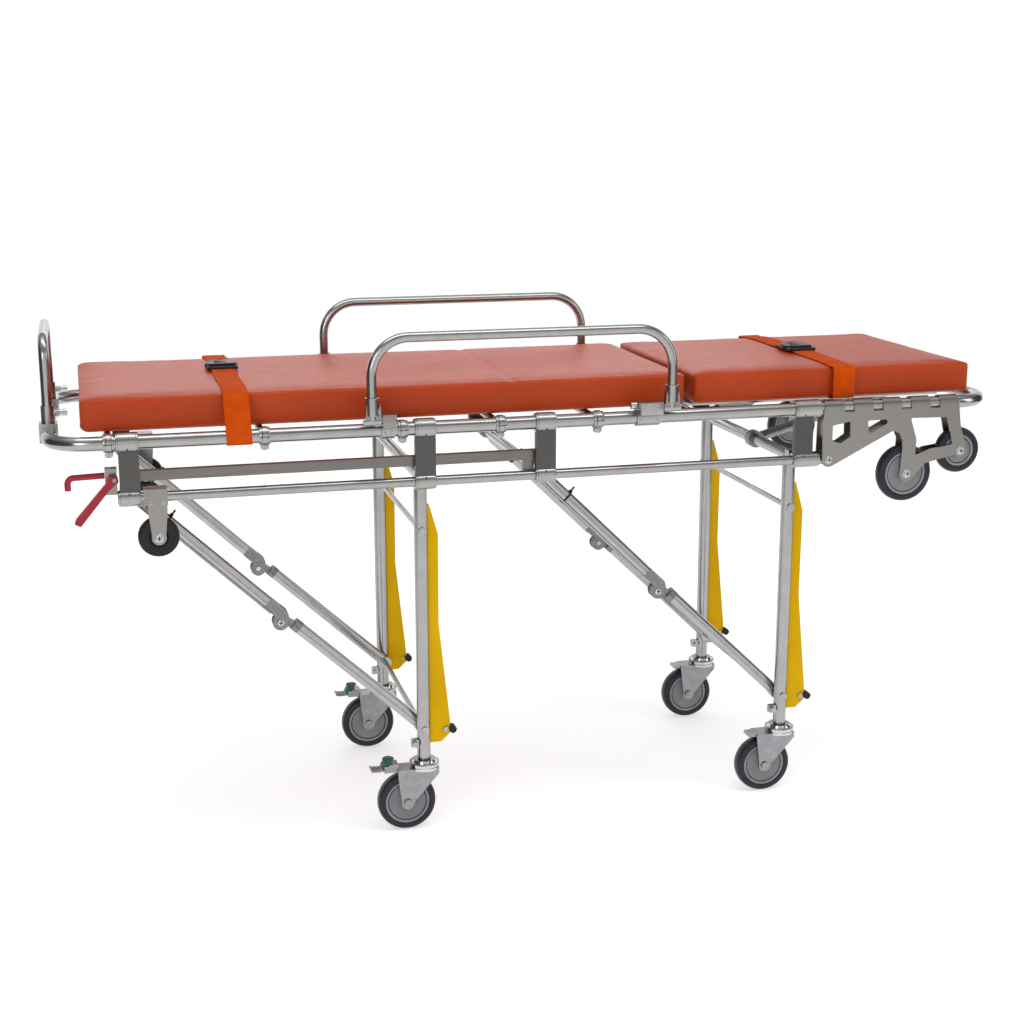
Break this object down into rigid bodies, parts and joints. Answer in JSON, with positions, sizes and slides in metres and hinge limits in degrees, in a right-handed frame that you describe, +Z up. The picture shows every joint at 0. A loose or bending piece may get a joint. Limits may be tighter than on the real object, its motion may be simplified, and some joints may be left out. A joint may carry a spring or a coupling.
{
  "type": "stretcher trolley",
  "caption": "Folding ambulance stretcher trolley: padded bed with tilting backrest, fold-down side rails, folding braced legs on swivel castors, loading wheels and a push bar",
  "frame": {"origin": "on the floor, under the middle of the whole trolley's length and width, with the legs down", "axes": "+X to the head end, +Y to the far side (the side without the squeeze handle), +Z up"},
  "size_m": [2.018, 0.666, 1.072],
  "materials": {
    "frame_tube": "satin anodised aluminium tube",
    "sleeve": "cast and machined aluminium, fine satin",
    "web": "dark grey powder coat",
    "steel": "stainless sheet and bright zinc steel",
    "castor_fork": "bright zinc plated pressed steel",
    "wheel": "dark tread on a grey moulded hub",
    "support_wheel": "solid black rubber",
    "bumper": "black moulded rubber",
    "guard": "yellow powder coat",
    "brace": "satin aluminium profile with dark cast joints",
    "vinyl": "orange red coated fabric",
    "webbing": "orange woven webbing with a black moulded buckle",
    "deck": "dark grey laminated panel",
    "grip": "deep red moulded plastic",
    "knob": "black moulded plastic",
    "pedal": "black moulded brake pedal with a green tab",
    "strut_body": "black gloss cylinder",
    "strut_rod": "hard chrome rod"
  },
  "bodies": {
    "frame": {"main_frame_tube": "frame_tube", "lower_rails": "frame_tube", "rail_sleeves": "sleeve", "hanger_webs": "web", "cross_members": "frame_tube", "shaft_bearings": "sleeve", "bed_deck": "deck", "loading_outer_plates": "steel", "loading_inner_plates": "steel", "support_wheel_forks": "steel", "push_bar_sockets": "sleeve", "side_rail_hinges": "sleeve", "handle_bracket": "steel", "grip_bar": "grip", "frame_fasteners": "steel", "foot_cushion": "vinyl", "foot_strap": "webbing"},
    "backrest": {"backrest_frame": "frame_tube", "head_cushion": "vinyl", "head_strap": "webbing"},
    "strut_cylinder": {"strut_cylinder": "strut_body"},
    "strut_rod": {"strut_rod": "strut_rod"},
    "release_lever": {"release_lever": "grip"},
    "pull_bar": {"pull_bar": "steel"},
    "push_bar": {"push_bar": "frame_tube"},
    "push_bar_pin_near": {"push_bar_pin_near": "knob"},
    "side_rail_near": {"side_rail_near": "frame_tube"},
    "side_rail_pin_near": {"side_rail_pin_near": "knob"},
    "push_bar_pin_far": {"push_bar_pin_far": "knob"},
    "side_rail_far": {"side_rail_far": "frame_tube"},
    "side_rail_pin_far": {"side_rail_pin_far": "knob"},
    "foot_legs": {"foot_leg_frame": "frame_tube", "foot_leg_guards": "guard", "foot_leg_fasteners": "steel", "foot_leg_bumpers": "bumper"},
    "foot_brace_upper": {"foot_brace_upper": "brace"},
    "foot_brace_lower": {"foot_brace_lower": "brace"},
    "foot_castor_near": {"foot_castor_fork_near": "castor_fork"},
    "foot_castor_wheel_near": {"foot_castor_wheel_near": "wheel"},
    "brake_pedal_near": {"brake_pedal_near": "pedal"},
    "foot_castor_far": {"foot_castor_fork_far": "castor_fork"},
    "foot_castor_wheel_far": {"foot_castor_wheel_far": "wheel"},
    "brake_pedal_far": {"brake_pedal_far": "pedal"},
    "head_legs": {"head_leg_frame": "frame_tube", "head_leg_guards": "guard", "head_leg_fasteners": "steel", "head_leg_bumpers": "bumper"},
    "head_brace_upper": {"head_brace_upper": "brace"},
    "head_brace_lower": {"head_brace_lower": "brace"},
    "head_castor_near": {"head_castor_fork_near": "castor_fork"},
    "head_castor_wheel_near": {"head_castor_wheel_near": "wheel"},
    "head_castor_far": {"head_castor_fork_far": "castor_fork"},
    "head_castor_wheel_far": {"head_castor_wheel_far": "wheel"},
    "loading_wheel_large_near": {"loading_wheel_large_near": "wheel"},
    "loading_wheel_large_far": {"loading_wheel_large_far": "wheel"},
    "loading_wheel_small_near": {"loading_wheel_small_near": "wheel"},
    "loading_wheel_small_far": {"loading_wheel_small_far": "wheel"},
    "support_wheel_near": {"support_wheel_near": "support_wheel"},
    "support_wheel_far": {"support_wheel_far": "support_wheel"}
  },
  "joints": [
    {"name": "backrest_tilt", "type": "hinge", "parent": "frame", "child": "backrest", "pos_m": [0.31, 0, 0.876], "axis": [0, -1, 0], "range_deg": [0, 75]},
    {"name": "strut_tilt", "type": "hinge", "parent": "frame", "child": "strut_cylinder", "pos_m": [0.546, -0.05, 0.767], "axis": [0, -1, 0], "range_deg": [0, 80.4]},
    {"name": "strut_extension", "type": "slide", "parent": "strut_cylinder", "child": "strut_rod", "axis": [0.9608, 0, 0.2772], "range_m": [0, 0.314]},
    {"name": "pull_bar_slide", "type": "slide", "parent": "frame", "child": "pull_bar", "axis": [-1, 0, 0], "range_m": [0, 0.013], "stiffness_N_per_m": 1500, "springref_m": -0.004},
    {"name": "lever_squeeze", "type": "hinge", "parent": "frame", "child": "release_lever", "pos_m": [-0.875, -0.295, 0.805], "axis": [0, 1, 0], "range_deg": [0, 22.5]},
    {"name": "push_bar_lift", "type": "slide", "parent": "frame", "child": "push_bar", "axis": [0, 0, 1], "range_m": [0, 0.025]},
    {"name": "push_bar_pin_near_pull", "type": "slide", "parent": "frame", "child": "push_bar_pin_near", "axis": [1, 0, 0], "range_m": [0, 0.006], "stiffness_N_per_m": 400, "springref_m": -0.003},
    {"name": "side_rail_near_fold", "type": "hinge", "parent": "frame", "child": "side_rail_near", "pos_m": [-0.066, -0.32, 0.898], "axis": [1, 0, 0], "range_deg": [0, 165]},
    {"name": "side_rail_pin_near_pull", "type": "slide", "parent": "frame", "child": "side_rail_pin_near", "axis": [-1, 0, 0], "range_m": [0, 0.006], "stiffness_N_per_m": 400, "springref_m": -0.003},
    {"name": "push_bar_pin_far_pull", "type": "slide", "parent": "frame", "child": "push_bar_pin_far", "axis": [1, 0, 0], "range_m": [0, 0.006], "stiffness_N_per_m": 400, "springref_m": -0.003},
    {"name": "side_rail_far_fold", "type": "hinge", "parent": "frame", "child": "side_rail_far", "pos_m": [-0.066, 0.32, 0.898], "axis": [-1, 0, 0], "range_deg": [0, 165]},
    {"name": "side_rail_pin_far_pull", "type": "slide", "parent": "frame", "child": "side_rail_pin_far", "axis": [-1, 0, 0], "range_m": [0, 0.006], "stiffness_N_per_m": 400, "springref_m": -0.003},
    {"name": "foot_legs_fold", "type": "hinge", "parent": "frame", "child": "foot_legs", "pos_m": [-0.268, 0, 0.767], "axis": [0, 1, 0], "range_deg": [0, 86]},
    {"name": "foot_brace_anchor", "type": "hinge", "parent": "frame", "child": "foot_brace_upper", "pos_m": [-0.848, 0, 0.767], "axis": [0, -1, 0], "range_deg": [0, 50.5]},
    {"name": "foot_brace_knee", "type": "hinge", "parent": "foot_brace_upper", "child": "foot_brace_lower", "pos_m": [-0.55898, 0, 0.47156], "axis": [0, 1, 0], "range_deg": [0, 179.1]},
    {"name": "foot_castor_near_swivel", "type": "hinge", "parent": "foot_legs", "child": "foot_castor_near", "pos_m": [-0.268, -0.243, 0.14], "axis": [0, 0, 1], "continuous": true},
    {"name": "foot_castor_near_roll", "type": "hinge", "parent": "foot_castor_near", "child": "foot_castor_wheel_near", "pos_m": [-0.308, -0.243, 0.0625], "axis": [0, 1, 0], "continuous": true},
    {"name": "brake_near_press", "type": "hinge", "parent": "foot_castor_near", "child": "brake_pedal_near", "pos_m": [-0.352, -0.243, 0.141], "axis": [0, -1, 0], "range_deg": [0, 15]},
    {"name": "foot_castor_far_swivel", "type": "hinge", "parent": "foot_legs", "child": "foot_castor_far", "pos_m": [-0.268, 0.243, 0.14], "axis": [0, 0, 1], "continuous": true},
    {"name": "foot_castor_far_roll", "type": "hinge", "parent": "foot_castor_far", "child": "foot_castor_wheel_far", "pos_m": [-0.308, 0.243, 0.0625], "axis": [0, 1, 0], "continuous": true},
    {"name": "brake_far_press", "type": "hinge", "parent": "foot_castor_far", "child": "brake_pedal_far", "pos_m": [-0.352, 0.243, 0.141], "axis": [0, -1, 0], "range_deg": [0, 15]},
    {"name": "head_legs_fold", "type": "hinge", "parent": "frame", "child": "head_legs", "pos_m": [0.546, 0, 0.767], "axis": [0, 1, 0], "range_deg": [0, 86]},
    {"name": "head_brace_anchor", "type": "hinge", "parent": "frame", "child": "head_brace_upper", "pos_m": [-0.018, 0, 0.767], "axis": [0, -1, 0], "range_deg": [0, 47.3]},
    {"name": "head_brace_knee", "type": "hinge", "parent": "head_brace_upper", "child": "head_brace_lower", "pos_m": [0.25854, 0, 0.47661], "axis": [0, 1, 0], "range_deg": [0, 179.3]},
    {"name": "head_castor_near_swivel", "type": "hinge", "parent": "head_legs", "child": "head_castor_near", "pos_m": [0.546, -0.243, 0.14], "axis": [0, 0, 1], "continuous": true},
    {"name": "head_castor_near_roll", "type": "hinge", "parent": "head_castor_near", "child": "head_castor_wheel_near", "pos_m": [0.506, -0.243, 0.0625], "axis": [0, 1, 0], "continuous": true},
    {"name": "head_castor_far_swivel", "type": "hinge", "parent": "head_legs", "child": "head_castor_far", "pos_m": [0.546, 0.243, 0.14], "axis": [0, 0, 1], "continuous": true},
    {"name": "head_castor_far_roll", "type": "hinge", "parent": "head_castor_far", "child": "head_castor_wheel_far", "pos_m": [0.506, 0.243, 0.0625], "axis": [0, 1, 0], "continuous": true},
    {"name": "loading_large_near_roll", "type": "hinge", "parent": "frame", "child": "loading_wheel_large_near", "pos_m": [0.791, -0.295, 0.726], "axis": [0, 1, 0], "continuous": true},
    {"name": "loading_large_far_roll", "type": "hinge", "parent": "frame", "child": "loading_wheel_large_far", "pos_m": [0.791, 0.295, 0.726], "axis": [0, 1, 0], "continuous": true},
    {"name": "loading_small_near_roll", "type": "hinge", "parent": "frame", "child": "loading_wheel_small_near", "pos_m": [0.917, -0.295, 0.77], "axis": [0, 1, 0], "continuous": true},
    {"name": "loading_small_far_roll", "type": "hinge", "parent": "frame", "child": "loading_wheel_small_far", "pos_m": [0.917, 0.295, 0.77], "axis": [0, 1, 0], "continuous": true},
    {"name": "support_near_roll", "type": "hinge", "parent": "frame", "child": "support_wheel_near", "pos_m": [-0.797, -0.295, 0.688], "axis": [0, 1, 0], "continuous": true},
    {"name": "support_far_roll", "type": "hinge", "parent": "frame", "child": "support_wheel_far", "pos_m": [-0.797, 0.295, 0.688], "axis": [0, 1, 0], "continuous": true}
  ],
  "couplings": [
    {"joint": "strut_tilt", "follows": "backrest_tilt", "ratio": 1.0705},
    {"joint": "strut_extension", "follows": "backrest_tilt", "m_per_rad": 0.23908},
    {"joint": "lever_squeeze", "follows": "pull_bar_slide", "rad_per_m": 29.536},
    {"joint": "foot_brace_anchor", "follows": "foot_legs_fold", "ratio": 0.58403},
    {"joint": "foot_brace_knee", "follows": "foot_legs_fold", "ratio": 2.0767},
    {"joint": "head_brace_anchor", "follows": "head_legs_fold", "ratio": 0.54681},
    {"joint": "head_brace_knee", "follows": "head_legs_fold", "ratio": 2.0793}
  ]
}
